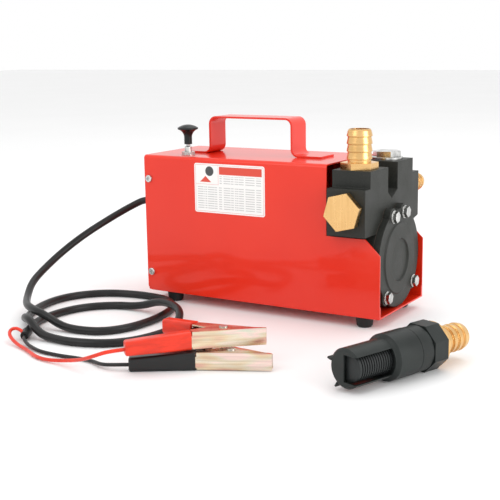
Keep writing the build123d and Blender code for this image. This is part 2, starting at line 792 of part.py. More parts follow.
def clamp_half(base, side, way, length, low, high):
    """A pressed channel: jaw and ears at full height, then the narrower handle along way."""
    bend = (heel[0], side * heel[1])
    nose = (tip[0], side * tip[1])
    inward = Vector(way.Y, -way.X) * side
    inner_bend = Vector(*bend) + inward * channel_depth
    handle_mid = Vector(*bend) + way * (length / 2 - 0.5) + inward * (channel_depth / 2)
    turn = degrees(atan2(way.Y, way.X))
    jaw = [bend, nose, (nose[0], side * -0.35), (8, side * -0.35), (4.6, side * 3.6)]
    jaw += [(-4.6, side * 3.6), (inner_bend.X, inner_bend.Y)]
    slope = (nose[1] - bend[1]) / (nose[0] - bend[0])
    wall = side * web * 1.04
    hollow = [(bend[0] - 12, bend[1] - 12 * slope + wall), (nose[0] - web, nose[1] - web * slope + wall)]
    hollow += [(nose[0] - web, side * 6), (-10, side * 12), (-46, side * -4)]
    with BuildPart() as metal:
        with BuildSketch(base.offset(low)):
            with BuildLine():
                Polyline(*jaw, close=True)
            make_face()
        extrude(amount=high - low)
        with BuildSketch(base.offset(low + web)):
            with BuildLine():
                Polyline(*hollow, close=True)
            make_face()
        extrude(amount=high - low - 2 * web, mode=Mode.SUBTRACT)
        with BuildSketch(base.offset(grip_metal[0])):
            with Locations(Location((handle_mid.X, handle_mid.Y), turn)):
                Rectangle(length + 1, channel_depth)
        extrude(amount=grip_metal[1] - grip_metal[0])
        pocket_mid = handle_mid + inward * web
        with BuildSketch(base.offset(grip_metal[0] + web)):
            with Locations(Location((pocket_mid.X, pocket_mid.Y), turn)):
                Rectangle(length + 12, channel_depth)
        extrude(amount=grip_metal[1] - grip_metal[0] - 2 * web, mode=Mode.SUBTRACT)
        with BuildSketch(base):
            Circle(rivet_radius + running_gap)
        extrude(amount=clamp_height, mode=Mode.SUBTRACT)
    return metal


def sleeve(base, bend, side, way, length, metal, tall, wire_run):
    """A dipped sleeve round a handle: open at the bend, solid past the metal's end."""
    inward = Vector(way.Y, -way.X) * side
    centre = Vector(*bend) + inward * (channel_depth / 2) + way
    middle = sum(grip_metal) / 2
    mouth = Plane(
        origin=base.from_local_coords(Vector(centre.X, centre.Y, middle)),
        x_dir=base.z_dir,
        z_dir=base.x_dir * way.X + base.y_dir * way.Y,
    )
    with BuildPart() as grip:
        with BuildSketch(mouth):
            with Locations((tall[0] / 2 - middle + tall[2], 0)):
                RectangleRounded(tall[0], 12, 3)
        with BuildSketch(mouth.offset(length)):
            with Locations((tall[1] / 2 - middle + tall[2], 0)):
                RectangleRounded(tall[1], 11.6, 3)
        loft()
        fillet(grip.faces().sort_by(Axis(mouth.origin, mouth.z_dir))[-1].edges(), 2)
        with BuildSketch(mouth):
            Rectangle(grip_metal[1] - grip_metal[0] + 0.2, channel_depth + 0.2)
        extrude(amount=metal, mode=Mode.SUBTRACT)
        if wire_run:
            with BuildSketch(run_plane(wire_run[1], wire_run[0])):
                Circle(wire_radius + thread_gap)
            extrude(amount=60, mode=Mode.SUBTRACT)
    return grip


for polarity in clamp_places:
    base = clamp_plane(polarity)
    wire_run = (positive_route if polarity == "positive" else negative_route)[-2:]
    jaw = clamp_half(base, 1, grip_way, 44, 0, clamp_height)
    save(jaw, f"{polarity}_jaw")
    grip = sleeve(base, (heel[0], heel[1]), 1, grip_way, 58, 46, (16.6, 13, -0.8), wire_run)
    save(grip, f"{polarity}_sleeve")
    lever = clamp_half(base, -1, lever_way, 25, lever_lift, clamp_height - lever_lift)
    save(lever, f"{polarity}_lever")
    lever_grip = sleeve(base, (heel[0], -heel[1]), -1, lever_way, 35, 27, (15.6, 14, -0.4), None)
    save(lever_grip, f"{polarity}_lever_sleeve")

with BuildPart() as clamp_rivets:
    for polarity in clamp_places:
        base = clamp_plane(polarity)
        with BuildSketch(base.offset(-0.8)):
            Circle(rivet_radius)
        extrude(amount=clamp_height + 1.6)
        for level in (-0.8, clamp_height):
            with BuildSketch(base.offset(level)):
                Circle(4)
            extrude(amount=0.8)
save(clamp_rivets, "clamp_rivets")

with BuildPart() as clamp_springs:
    for polarity in clamp_places:
        add(spring(clamp_plane(polarity).offset(3.2), 3.4, 0.7, 8.6, 4).part)
save(clamp_springs, "clamp_springs")

# ---------------------------------------------------------------- suction strainer
strainer_way = (cos(radians(70.8)), sin(radians(70.8)), 0)
strainer_base = Plane(
    origin=(199.5, -205.8, strainer_axis_height),
    x_dir=(strainer_way[1], -strainer_way[0], 0),
    z_dir=strainer_way,
)
cage_radius, collar_radius = 17.1, 20.4
cage_end, collar_start, collar_end = -29.0, 15.5, 43.5
spigot_radius = 15.5
screen_radius = 12.9
ring_pitch = 2.7
ring_width = 1.6

with BuildPart() as strainer_cage:
    turned(
        strainer_base,
        [
            (0, cage_end), (cage_radius - 1.5, cage_end), (cage_radius, cage_end + 1.5),
            (cage_radius, collar_start - 2), (collar_radius - 0.8, collar_start),
            (collar_radius, collar_start + 1), (collar_radius, collar_end - 0.8),
            (collar_radius - 0.8, collar_end), (17.05, collar_end), (17.05, 30),
            (cage_radius - 1.6, 30), (cage_radius - 1.6, cage_end + 1.8), (0, cage_end + 1.8),
        ],
    )
    with BuildSketch(strainer_base.offset(cage_end - 1)):
        with Locations((9.3, 0)):
            Rectangle(21.2, 23)
    extrude(amount=collar_start - cage_end - 1.5, mode=Mode.SUBTRACT)
    with BuildSketch(strainer_base.offset(cage_end + 4)):
        with Locations(Location((17 * cos(radians(201)), -17 * sin(radians(201))), -201)):
            Rectangle(10, 20)
    extrude(amount=collar_start - cage_end - 8, mode=Mode.SUBTRACT)
    with BuildSketch(strainer_base.offset(cage_end)):
        for angle in (165, 237):
            with Locations(Location((18.6 * cos(radians(angle)), -18.6 * sin(radians(angle))), -angle)):
                Rectangle(4.4, 1.6)
    extrude(amount=7)
save(strainer_cage, "strainer_cage")

with BuildPart() as strainer_screen:
    inner_wall = screen_radius - 1.6
    turned(
        strainer_base,
        [
            (0, -25.6), (9, -25.2), (screen_radius - 0.6, -24.6), (screen_radius, -24),
            (screen_radius, -21.8), (inner_wall, -21.8), (inner_wall, -23), (0, -23),
        ],
    )
    for ring in range(13):
        foot = -20.7 + ring_pitch * ring
        turned(
            strainer_base,
            [
                (inner_wall, foot), (screen_radius, foot),
                (screen_radius, foot + ring_width), (inner_wall, foot + ring_width),
            ],
        )
    top_ring = -20.7 + ring_pitch * 13
    turned(
        strainer_base,
        [
            (inner_wall, top_ring), (screen_radius, top_ring), (screen_radius, 15.2),
            (15.4, 15.2), (15.4, 17), (inner_wall, 17),
        ],
    )
    with BuildSketch(strainer_base.offset(-23.5)):
        with PolarLocations(screen_radius - 1.4, 3, start_angle=60):
            Rectangle(1.8, 3)
    extrude(amount=39.5)
save(strainer_screen, "strainer_screen")

check_seat = 46.0
with BuildPart() as strainer_body:
    turned(
        strainer_base,
        [
            (9, 28), (15.4, 28), (15.4, 30), (17, 30), (17, collar_end), (19.4, collar_end),
            (20, collar_end + 0.6), (20, 57), (19.4, 58), (spigot_radius, 58), (spigot_radius, 66.4),
            (12.5, 66.4), (12.5, check_seat), (9, check_seat),
        ],
    )
save(strainer_body, "strainer_body")

with BuildPart() as strainer_nut:
    with BuildSketch(strainer_base.offset(58)):
        RegularPolygon(2 * strainer_axis_height / 2, 8, major_radius=False, rotation=22.5)
        Circle(spigot_radius + thread_gap, mode=Mode.SUBTRACT)
    extrude(amount=17)
save(strainer_nut, "strainer_nut")

with BuildPart() as strainer_tail:
    outline = [(9.5, 66.6), (spigot_radius, 66.6), (spigot_radius, 75), (19.4, 75), (20, 75.6)]
    outline += [(20, 78), (19.4, 78.5), (11.6, 78.5)]
    first_barb = 115 - 4 * barb_pitch
    for count in range(4):
        foot = first_barb + count * barb_pitch
        outline += [(11.6, foot), (12.7, foot + 0.5), (12.6, foot + 1.6)]
        if count < 3:
            outline += [(11.6, foot + barb_pitch - 0.4)]
    outline += [(11.6, 113.4), (10.6, 115), (9.5, 115)]
    turned(strainer_base, outline)
    with BuildSketch(strainer_base.offset(66.6)):
        Circle(5.5)
        with PolarLocations(5, 3):
            Rectangle(10, 2)
        Circle(3 + running_gap, mode=Mode.SUBTRACT)
    extrude(amount=3)
save(strainer_tail, "strainer_tail")

with BuildPart() as check_poppet:
    turned(
        strainer_base.offset(check_seat),
        [(0, 0), (11.5, 0), (11.5, 2), (10.5, 3), (3, 3), (3, 26), (0, 26)],
    )
save(check_poppet, "check_poppet")

check_spring = spring(strainer_base.offset(check_seat + 3), 5, 0.7, 66.6 - check_seat - 3, 4)
save(check_spring, "check_spring")
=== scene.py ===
"""Finishes, cords and studio for a portable fluid transfer pump, laid out as a Blender add-on."""
import math

import bpy
import numpy as np
from bpy.props import FloatProperty, FloatVectorProperty, PointerProperty
from mathutils import Matrix, Vector


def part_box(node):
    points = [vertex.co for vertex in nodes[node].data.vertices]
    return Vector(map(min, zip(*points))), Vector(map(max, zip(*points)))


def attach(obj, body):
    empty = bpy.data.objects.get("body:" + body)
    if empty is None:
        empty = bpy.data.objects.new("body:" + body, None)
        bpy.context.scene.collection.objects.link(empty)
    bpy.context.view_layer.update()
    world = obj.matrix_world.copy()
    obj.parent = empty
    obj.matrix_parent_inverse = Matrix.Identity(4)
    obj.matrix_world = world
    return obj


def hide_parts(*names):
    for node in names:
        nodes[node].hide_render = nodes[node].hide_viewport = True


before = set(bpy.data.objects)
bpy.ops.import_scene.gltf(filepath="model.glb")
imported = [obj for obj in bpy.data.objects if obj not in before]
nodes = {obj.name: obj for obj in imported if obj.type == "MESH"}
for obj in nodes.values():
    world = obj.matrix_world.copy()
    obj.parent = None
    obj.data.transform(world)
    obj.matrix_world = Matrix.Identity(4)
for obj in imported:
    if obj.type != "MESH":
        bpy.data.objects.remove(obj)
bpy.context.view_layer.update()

bl_info = {
    "name": "Fluid Transfer Pump",
    "version": (1, 0, 0),
    "blender": (4, 5, 0),
    "location": "View3D > Sidebar > Pump",
    "description": "Dresses a packed fluid transfer pump with its finishes, cords and studio",
    "category": "Object",
}

MM = 0.001
clamp_turns = {"positive": math.radians(26), "negative": math.radians(11)}
strainer_turn = math.radians(70.8)


# ---------------------------------------------------------------- properties
def colour(name, description, default):
    """A linear colour property with its own default."""
    return FloatVectorProperty(
        name=name, description=description, default=default, subtype="COLOR", size=3, min=0, max=1
    )


class PumpColours(bpy.types.PropertyGroup):
    """Colours of the pump's finishes."""

    enamel: colour("Enamel", "Gloss paint of the sheet steel", (0.78, 0.026, 0.006))
    enamel_pool: colour("Enamel pool", "The paint where it lies thicker", (0.73, 0.021, 0.005))
    casting: colour("Casting", "Black paint on the pump castings", (0.013, 0.014, 0.012))
    casting_rub: colour("Casting rub", "Greyer paint on the casting's high grain", (0.030, 0.032, 0.027))
    brass: colour("Brass", "Turned brass", (0.86, 0.55, 0.24))
    brass_dark: colour("Brass shade", "Brass in the tool lines", (0.60, 0.33, 0.10))
    zinc: colour("Zinc", "Bright zinc plate", (0.70, 0.70, 0.68))
    zinc_dull: colour("Dull zinc", "Zinc plate where it has dulled", (0.42, 0.42, 0.41))
    rubber: colour("Rubber", "Feet, gland and cable jacket", (0.009, 0.009, 0.009))
    red_sleeve: colour("Red sleeve", "Dipped sleeve of the positive clamp", (0.80, 0.035, 0.010))
    black_sleeve: colour("Black sleeve", "Dipped sleeve of the negative clamp", (0.007, 0.008, 0.008))
    strainer: colour("Strainer", "Moulded plastic of the strainer", (0.010, 0.013, 0.012))
    knob: colour("Knob", "Moulded pull knob", (0.006, 0.008, 0.008))
    label: colour("Label", "Printed film", (0.88, 0.88, 0.86))
    print_red: colour("Label red", "Header bar and frame of the label", (0.70, 0.060, 0.030))
    print_grey: colour("Label grey", "Ruled lines of the label", (0.42, 0.42, 0.42))


class CordSizes(bpy.types.PropertyGroup):
    """Sizes of the cable and the two wires."""

    cable_diameter: FloatProperty(
        name="Cable diameter", description="Outside of the rubber jacket", default=0.008, unit="LENGTH"
    )
    wire_diameter: FloatProperty(
        name="Wire diameter", description="Outside of a clamp wire", default=0.0034, unit="LENGTH"
    )
    cable_length: FloatProperty(
        name="Cable length", description="From the gland to the breakout", default=1.281, unit="LENGTH"
    )
    red_length: FloatProperty(
        name="Red wire length", description="From the breakout to its clamp", default=0.220, unit="LENGTH"
    )
    black_length: FloatProperty(
        name="Black wire length", description="From the breakout to its clamp", default=0.174, unit="LENGTH"
    )


class StudioSettings(bpy.types.PropertyGroup):
    """Camera, floor and lights."""

    camera_place: FloatVectorProperty(
        name="Camera place", description="Where the camera stands", default=(0.539415, -0.946632, 0.279780),
        subtype="TRANSLATION", unit="LENGTH",
    )
    azimuth: FloatProperty(
        name="Azimuth", description="Turn of the view about +Z", default=math.radians(31.49), unit="ROTATION"
    )
    elevation: FloatProperty(
        name="Elevation", description="How far the view looks down", default=math.radians(11.47),
        unit="ROTATION",
    )
    roll: FloatProperty(
        name="Roll", description="Tilt of the camera about its own axis", default=math.radians(-0.894),
        unit="ROTATION",
    )
    lens: FloatProperty(name="Lens", description="Focal length in mm on a 36 mm sensor", default=73.97)
    floor_radius: FloatProperty(
        name="Floor radius", description="Half the width of the floor", default=8.0, unit="LENGTH"
    )
    floor_colour: colour("Floor colour", "Pale floor", (0.90, 0.90, 0.90))
    room_light: FloatProperty(name="Room light", description="Strength of the white room", default=1.0)
    sensor_width: FloatProperty(
        name="Sensor", description="Width of the camera's sensor in mm", default=36
    )
    light_aim: FloatProperty(
        name="Light aim", description="Height that the softboxes point at", default=0.08, unit="LENGTH"
    )


# ---------------------------------------------------------------- material building
class Graph:
    """A material's node tree, with short ways to add and join its nodes."""

    def __init__(self, name):
        self.material = bpy.data.materials.new(name)
        self.material.use_nodes = True
        self.tree = self.material.node_tree
        self.shader = self.tree.nodes["Principled BSDF"]
        self.place = self.add("ShaderNodeTexCoord").outputs["Object"]

    def add(self, kind, **settings):
        """A new node with its settings."""
        node = self.tree.nodes.new(kind)
        for key, value in settings.items():
            setattr(node, key, value)
        return node

    def put(self, socket, value):
        """Joins value to socket if it is an output, and otherwise sets it."""
        if isinstance(value, bpy.types.NodeSocket):
            self.tree.links.new(value, socket)
        else:
            socket.default_value = value

    def set(self, **values):
        """Shader sockets by name, with underscores for spaces."""
        for key, value in values.items():
            self.put(self.shader.inputs[key.replace("_", " ")], value)

    def math(self, operation, first, second=0.0):
        """The result of one arithmetic operation on two values."""
        node = self.add("ShaderNodeMath", operation=operation)
        self.put(node.inputs[0], first)
        self.put(node.inputs[1], second)
        return node.outputs[0]

    def along(self, direction):
        """Distance along a direction, in metres times the direction's length."""
        node = self.add("ShaderNodeVectorMath", operation="DOT_PRODUCT")
        self.put(node.inputs[0], self.place)
        node.inputs[1].default_value = direction
        return node.outputs["Value"]

    def stretched(self, scales, turn=(0, 0, 0)):
        """Object coordinates turned about the origin, then scaled along each axis."""
        node = self.add("ShaderNodeMapping", vector_type="POINT")
        self.put(node.inputs["Vector"], self.place)
        node.inputs["Rotation"].default_value = turn
        scaled = self.add("ShaderNodeVectorMath", operation="MULTIPLY")
        self.put(scaled.inputs[0], node.outputs[0])
        scaled.inputs[1].default_value = scales
        return scaled.outputs[0]

    def noise(self, scale, detail=3.0, place=None, rough=0.5):
        """Cloudy noise of a scale, over the object or over the given coordinates."""
        node = self.add("ShaderNodeTexNoise")
        self.put(node.inputs["Vector"], place or self.place)
        node.inputs["Scale"].default_value = scale
        node.inputs["Detail"].default_value = detail
        node.inputs["Roughness"].default_value = rough
        return node.outputs["Fac"]

    def lines(self, direction, scale, detail=2.0):
        """Noise that changes along one direction only, as tool lines do."""
        node = self.add("ShaderNodeTexNoise", noise_dimensions="1D")
        self.put(node.inputs["W"], self.along(direction))
        node.inputs["Scale"].default_value = scale
        node.inputs["Detail"].default_value = detail
        return node.outputs["Fac"]

    def ramp(self, value, *stops):
        """Colours or greys at stops, each (position, colour)."""
        node = self.add("ShaderNodeValToRGB")
        self.put(node.inputs[0], value)
        ends = node.color_ramp.elements
        while len(ends) < len(stops):
            ends.new(0.5)
        for end, (position, tint) in zip(ends, stops):
            end.position = position
            end.color = (*tint, 1) if hasattr(tint, "__len__") else (tint, tint, tint, 1)
        return node.outputs[0]

    def mix(self, amount, first, second):
        """first where amount is 0, second where it is 1."""
        node = self.add("ShaderNodeMix", data_type="RGBA")
        self.put(node.inputs["Factor"], amount)
        for socket, tint in ((node.inputs[6], first), (node.inputs[7], second)):
            self.put(socket, tint if isinstance(tint, bpy.types.NodeSocket) else (*tint, 1))
        return node.outputs[2]

    def relief(self, height, distance, strength=1.0, edge=0.0):
        """Bump from height, over edges rounded to the given radius."""
        node = self.add("ShaderNodeBump")
        node.inputs["Strength"].default_value = strength
        node.inputs["Distance"].default_value = distance
        self.put(node.inputs["Height"], height)
        if edge:
            rounding = self.add("ShaderNodeBevel", samples=6)
            rounding.inputs["Radius"].default_value = edge
            self.put(node.inputs["Normal"], rounding.outputs[0])
        self.put(self.shader.inputs["Normal"], node.outputs[0])

    def between(self, value, low, high):
        """1 where value lies between low and high, 0 elsewhere."""
        above = self.math("GREATER_THAN", value, low)
        return self.math("MULTIPLY", above, self.math("LESS_THAN", value, high))

    def panel(self, across, up, left, right, bottom, top):
        """1 inside a rectangle of two coordinates."""
        inside = self.between(across, left, right)
        return self.math("MULTIPLY", inside, self.between(up, bottom, top))


# ---------------------------------------------------------------- finishes
def enamel_finish(tints):
    """Gloss enamel: an even red with a slight orange peel and a clear top."""
    g = Graph("red_enamel")
    pool = g.ramp(g.noise(9, 2), (0.35, 0), (0.65, 1))
    g.set(Base_Color=g.mix(pool, tints.enamel, tints.enamel_pool), Roughness=0.32)
    g.set(Coat_Weight=0.4, Coat_Roughness=0.06, Specular_IOR_Level=0.3)
    g.relief(g.noise(260, 2), 0.00006, 0.5, edge=0.0009)
    return g.material


def casting_finish(tints):
    """Black paint over cast iron: fine grain, greyer and rougher on its high points."""
    g = Graph("black_casting")
    grain = g.noise(850, 4, rough=0.6)
    broad = g.noise(45, 3)
    tone = g.ramp(g.math("MULTIPLY", grain, g.math("ADD", broad, 0.5)), (0.3, 0), (0.75, 1))
    g.set(Base_Color=g.mix(tone, tints.casting, tints.casting_rub))
    g.set(Roughness=g.ramp(broad, (0.3, 0.42), (0.7, 0.56)), Specular_IOR_Level=0.32)
    g.relief(grain, 0.00022, 0.6, edge=0.0012)
    return g.material


def brass_finish(tints, name, direction):
    """Turned brass with tool lines round a direction."""
    g = Graph(name)
    cut = g.lines(direction, 2600, 3)
    stain = g.noise(60, 3)
    tone = g.ramp(g.math("MULTIPLY", cut, g.math("ADD", stain, 0.55)), (0.25, 0), (0.62, 1))
    g.set(Base_Color=g.mix(tone, tints.brass_dark, tints.brass), Metallic=1.0)
    g.set(Roughness=g.ramp(stain, (0.3, 0.2), (0.7, 0.33)))
    g.relief(cut, 0.00002, 0.25, edge=0.0004)
    return g.material


def milled_brass_finish(tints):
    """A machined brass plug: faint upright marks down its flats."""
    g = Graph("milled_brass")
    mark = g.noise(1.0, 3, place=g.stretched((420, 420, 24)))
    tone = g.ramp(mark, (0.3, 0.6), (0.7, 1))
    g.set(Base_Color=g.mix(tone, tints.brass_dark, tints.brass), Metallic=1.0)
    g.set(Roughness=g.ramp(g.noise(70, 3), (0.3, 0.2), (0.7, 0.34)))
    g.relief(mark, 0.00002, 0.25, edge=0.0008)
    return g.material


def zinc_finish(tints, name="zinc_plate", roughness=(0.18, 0.34)):
    """Bright zinc plate, clouded and finely scratched."""
    g = Graph(name)
    cloud = g.noise(140, 3)
    scratch = g.noise(1.0, 2, place=g.stretched((5000, 350, 350)))
    g.set(Base_Color=g.mix(g.ramp(cloud, (0.35, 0), (0.7, 1)), tints.zinc, tints.zinc_dull))
    g.set(Metallic=1.0, Roughness=g.ramp(cloud, (0.3, roughness[0]), (0.7, roughness[1])))
    g.relief(scratch, 0.00003, 0.4, edge=0.0004)
    return g.material


def steel_finish(name, tint, lines_along, roughness=0.3):
    """Bare steel with ground or stacked lines along a direction."""
    g = Graph(name)
    cut = g.lines(lines_along, 2200, 2)
    shade = tuple(0.55 * part for part in tint)
    g.set(Base_Color=g.mix(g.ramp(cut, (0.35, 0), (0.6, 1)), shade, tint), Metallic=1.0)
    g.set(Roughness=g.ramp(g.noise(90, 2), (0.3, roughness), (0.7, roughness + 0.14)))
    g.relief(cut, 0.00006, 0.5)
    return g.material


def rubber_finish(name, tint, roughness=(0.42, 0.6), grain=600, edge=0.0006):
    """Moulded rubber or plastic: a fine matte grain with worn, smoother patches."""
    g = Graph(name)
    broad = g.noise(38, 3)
    lighter = tuple(min(1, 1.7 * part + 0.004) for part in tint)
    g.set(Base_Color=g.mix(g.ramp(broad, (0.35, 0), (0.75, 1)), tint, lighter))
    g.set(Roughness=g.ramp(broad, (0.3, roughness[0]), (0.7, roughness[1])), Specular_IOR_Level=0.3)
    g.relief(g.noise(grain, 3), 0.00012, 0.45, edge=edge)
    return g.material


def sleeve_finish(name, tint):
    """Dipped vinyl: wet-looking, with slow ripples and a faint darker run."""
    g = Graph(name)
    run = g.noise(1.0, 2, place=g.stretched((60, 60, 240)))
    darker = tuple(0.75 * part for part in tint)
    g.set(Base_Color=g.mix(g.ramp(run, (0.35, 0), (0.7, 1)), tint, darker), Roughness=0.3)
    g.set(Coat_Weight=0.15, Coat_Roughness=0.12, Specular_IOR_Level=0.35)
    g.relief(run, 0.0003, 0.5, edge=0.0016)
    return g.material


def jaw_finish(name, turn):
    """Yellow zinc on a pressed jaw: draw streaks in its relief and roughness, also darkened into its colour
    as painted dark streak reflections, under a wash from straw to pink and green.
    """
    g = Graph(name)
    draw_streak_and_reflection = g.noise(1.0, 3, place=g.stretched((9, 30, 420), turn=(0, 0, -turn)))
    wash = g.noise(1.0, 1, place=g.stretched((28, 40, 120), turn=(0, 0, -turn)))
    tint = g.ramp(
        g.math("ADD", g.math("MULTIPLY", wash, 0.85), g.math("MULTIPLY", draw_streak_and_reflection, 0.15)),
        (0.36, (0.74, 0.46, 0.36)), (0.45, (0.78, 0.62, 0.42)), (0.52, (0.78, 0.70, 0.55)),
        (0.60, (0.92, 0.68, 0.62)), (0.68, (0.66, 0.70, 0.56)),
    )
    # painted reflection: along the streaks the colour is darkened down to 0.8, standing in for the dark
    # streaks the bright jaw reflects; the same streaks also give the real relief and roughness
    shade = g.ramp(draw_streak_and_reflection, (0.38, 0.8), (0.56, 1.0))
    shaded = g.add("ShaderNodeMix", data_type="RGBA", blend_type="MULTIPLY")
    shaded.inputs["Factor"].default_value = 1.0
    g.put(shaded.inputs[6], tint)
    g.put(shaded.inputs[7], shade)
    g.set(Base_Color=shaded.outputs[2], Metallic=1.0)
    g.set(Roughness=g.ramp(draw_streak_and_reflection, (0.3, 0.16), (0.7, 0.28)))
    g.relief(draw_streak_and_reflection, 0.00006, 0.4)
    return g.material


def label_finish(tints, low, high):
    """Printed film: a red rule and header bar, a cell with a plain sign, and grey ruled bars.

    The layout is in mm, across from the label's left edge and down from its top edge. The disc is
    where across^2 + down^2 from its centre stays under its squared radius, and the wedge is where
    down from its point exceeds the slope times the distance across from it.
    """
    disc_across, disc_down, disc_radius_squared = 19, 8, 26.0
    wedge_across, wedge_point, wedge_foot, wedge_slope = 14, 13.2, 19.6, 0.9
    bar_pitch, bar_share, gap_share = 2.45, 0.36, 0.43
    g = Graph("printed_label")
    across = g.math("SUBTRACT", g.along((1000, 0, 0)), low.x / MM)
    down = g.math("SUBTRACT", high.z / MM, g.along((0, 0, 1000)))
    wide, tall = (high.x - low.x) / MM, (high.z - low.z) / MM
    inset, rule = 1.3, 0.45
    outer = g.panel(across, down, inset, wide - inset, inset, tall - inset)
    inner = g.panel(across, down, inset + rule, wide - inset - rule, inset + rule, tall - inset - rule)
    frame_line = g.math("SUBTRACT", outer, inner)
    header = g.panel(across, down, 31, wide - 3.2, 2.8, 11)
    cell = g.panel(across, down, 2, 30, 2, 22)
    cell_edge = g.math("SUBTRACT", cell, g.panel(across, down, 2, 29.6, 2, 21.6))
    squares = [
        g.math("POWER", g.math("ABSOLUTE", g.math("SUBTRACT", value, middle)), 2.0)
        for value, middle in ((across, disc_across), (down, disc_down))
    ]
    disc = g.math("LESS_THAN", g.math("ADD", *squares), disc_radius_squared)
    peak = g.math("MULTIPLY", g.math("ABSOLUTE", g.math("SUBTRACT", across, wedge_across)), wedge_slope)
    wedge = g.math("GREATER_THAN", g.math("SUBTRACT", down, wedge_point), peak)
    wedge = g.math("MULTIPLY", wedge, g.between(down, wedge_point, wedge_foot))
    words = g.add("ShaderNodeTexNoise", noise_dimensions="2D")
    g.put(words.inputs["Vector"], g.stretched((300, 1, 385)))
    words.inputs["Scale"].default_value = 1.0
    bars = g.math("LESS_THAN", g.math("FRACT", g.math("MULTIPLY", down, 1 / bar_pitch)), bar_share)
    bars = g.math("MULTIPLY", bars, g.math("GREATER_THAN", words.outputs["Fac"], gap_share))
    beside = g.panel(across, down, 31.5, wide - 4, 12.6, 21.8)
    below = g.panel(across, down, 4, wide - 4, 23.6, tall - 4.4)
    bars = g.math("MULTIPLY", bars, g.math("MAXIMUM", beside, below))
    tint = g.mix(g.math("MULTIPLY", bars, 0.75), tints.label, tints.print_grey)
    tint = g.mix(g.math("MULTIPLY", g.math("MAXIMUM", frame_line, cell_edge), 0.6), tint, tints.print_red)
    tint = g.mix(g.math("MAXIMUM", header, wedge), tint, tints.print_red)
    tint = g.mix(disc, tint, (0.05, 0.055, 0.055))
    g.set(Base_Color=tint, Roughness=0.34, Coat_Weight=0.2, Coat_Roughness=0.2)
    g.relief(g.noise(180, 2), 0.00003, 0.3)
    return g.material


def give(material, *names):
    """Puts one material on every slot of the named CAD nodes."""
    for name in names:
        mesh = nodes[name].data
        mesh.materials.clear()
        mesh.materials.append(material)


# ---------------------------------------------------------------- cords
cable_route = [
    (-131, 0, 104), (-177, 0, 104), (-193, -13, 95), (-208, -39, 81.5), (-221, -67, 67),
    (-232, -91, 51.5), (-236, -115, 38), (-234, -140, 26.5), (-220, -163, 17), (-200, -186, 16),
    (-178, -200, 17), (-157, -204, 14), (-137, -203, 5), (-115, -203, 4), (-91, -196, 4),
    (-77, -174, 4), (-73, -146, 4), (-75, -116, 4), (-84, -85, 4), (-108, -61, 4),
    (-149, -57, 4), (-188, -67, 4), (-211, -91, 4), (-219, -119, 4), (-215, -148, 4),
    (-204, -175, 4), (-189, -199, 4.5), (-169, -221, 15.4), (-152, -231, 16), (-135, -237, 6),
    (-117, -237, 4), (-95, -238, 4), (-66, -229, 4), (-47, -212, 4), (-37, -184, 4),
    (-33, -153, 5), (-46, -125, 15.8), (-84, -105.5, 15.8), (-116, -103, 5), (-146, -108, 4),
    (-170, -130, 4), (-179, -162, 4), (-176, -193, 4), (-165, -218, 4), (-150, -240, 5.2),
]
positive_route = [
    (-147.3, -243.9, 5.4), (-154.8, -243.0, 10), (-161, -247, 10.8), (-158.5, -254.5, 8.3),
    (-150, -260, 5.3), (-136, -266, 2.5), (-119, -272, 2), (-97.5, -284, 2), (-83, -287.5, 2.2),
    (-66, -287, 3.5), (-50, -288.5, 6.5), (-34, -293, 11), (-18, -297, 17.5), (-4.1, -290.1, 22.7),
    (16, -267.9, 22.7),
]
negative_route = [
    (-145.8, -246.2, 5.5), (-141, -253.3, 5.5), (-131, -259.5, 2.5), (-117, -265.5, 2),
    (-103, -270.5, 2), (-79, -271.5, 2), (-57.5, -269, 2), (-42, -270, 2.2), (-27, -276.5, 3),
    (-10, -277.6, 5.5), (15.2, -261.3, 5.5),
]


def cord_curve(name, route, diameter, material):
    """A round cord on one smooth spline whose control points are the route, in mm."""
    curve = bpy.data.curves.new(name, "CURVE")
    curve.dimensions = "3D"
    curve.bevel_depth = diameter / 2
    curve.bevel_resolution = 5
    curve.resolution_u = 10
    curve.use_fill_caps = True
    spline = curve.splines.new("NURBS")
    spline.points.add(len(route) - 1)
    places = np.ones((len(route), 4))
    places[:, :3] = np.array(route) * MM
    spline.points.foreach_set("co", places.ravel())
    spline.order_u = 3
    spline.use_endpoint_u = True
    curve.materials.append(material)
    piece = bpy.data.objects.new(name, curve)
    bpy.context.scene.collection.objects.link(piece)
    return piece


def lay_cord(name, node, route, diameter, material):
    piece = cord_curve(name, route, diameter, material)
    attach(piece, "cabinet")
    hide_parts(node)


# ---------------------------------------------------------------- operators
def settings(context):
    """The property groups in the order that the panel lists them."""
    scene = context.scene
    return scene.pump_colours, scene.pump_cords, scene.pump_studio


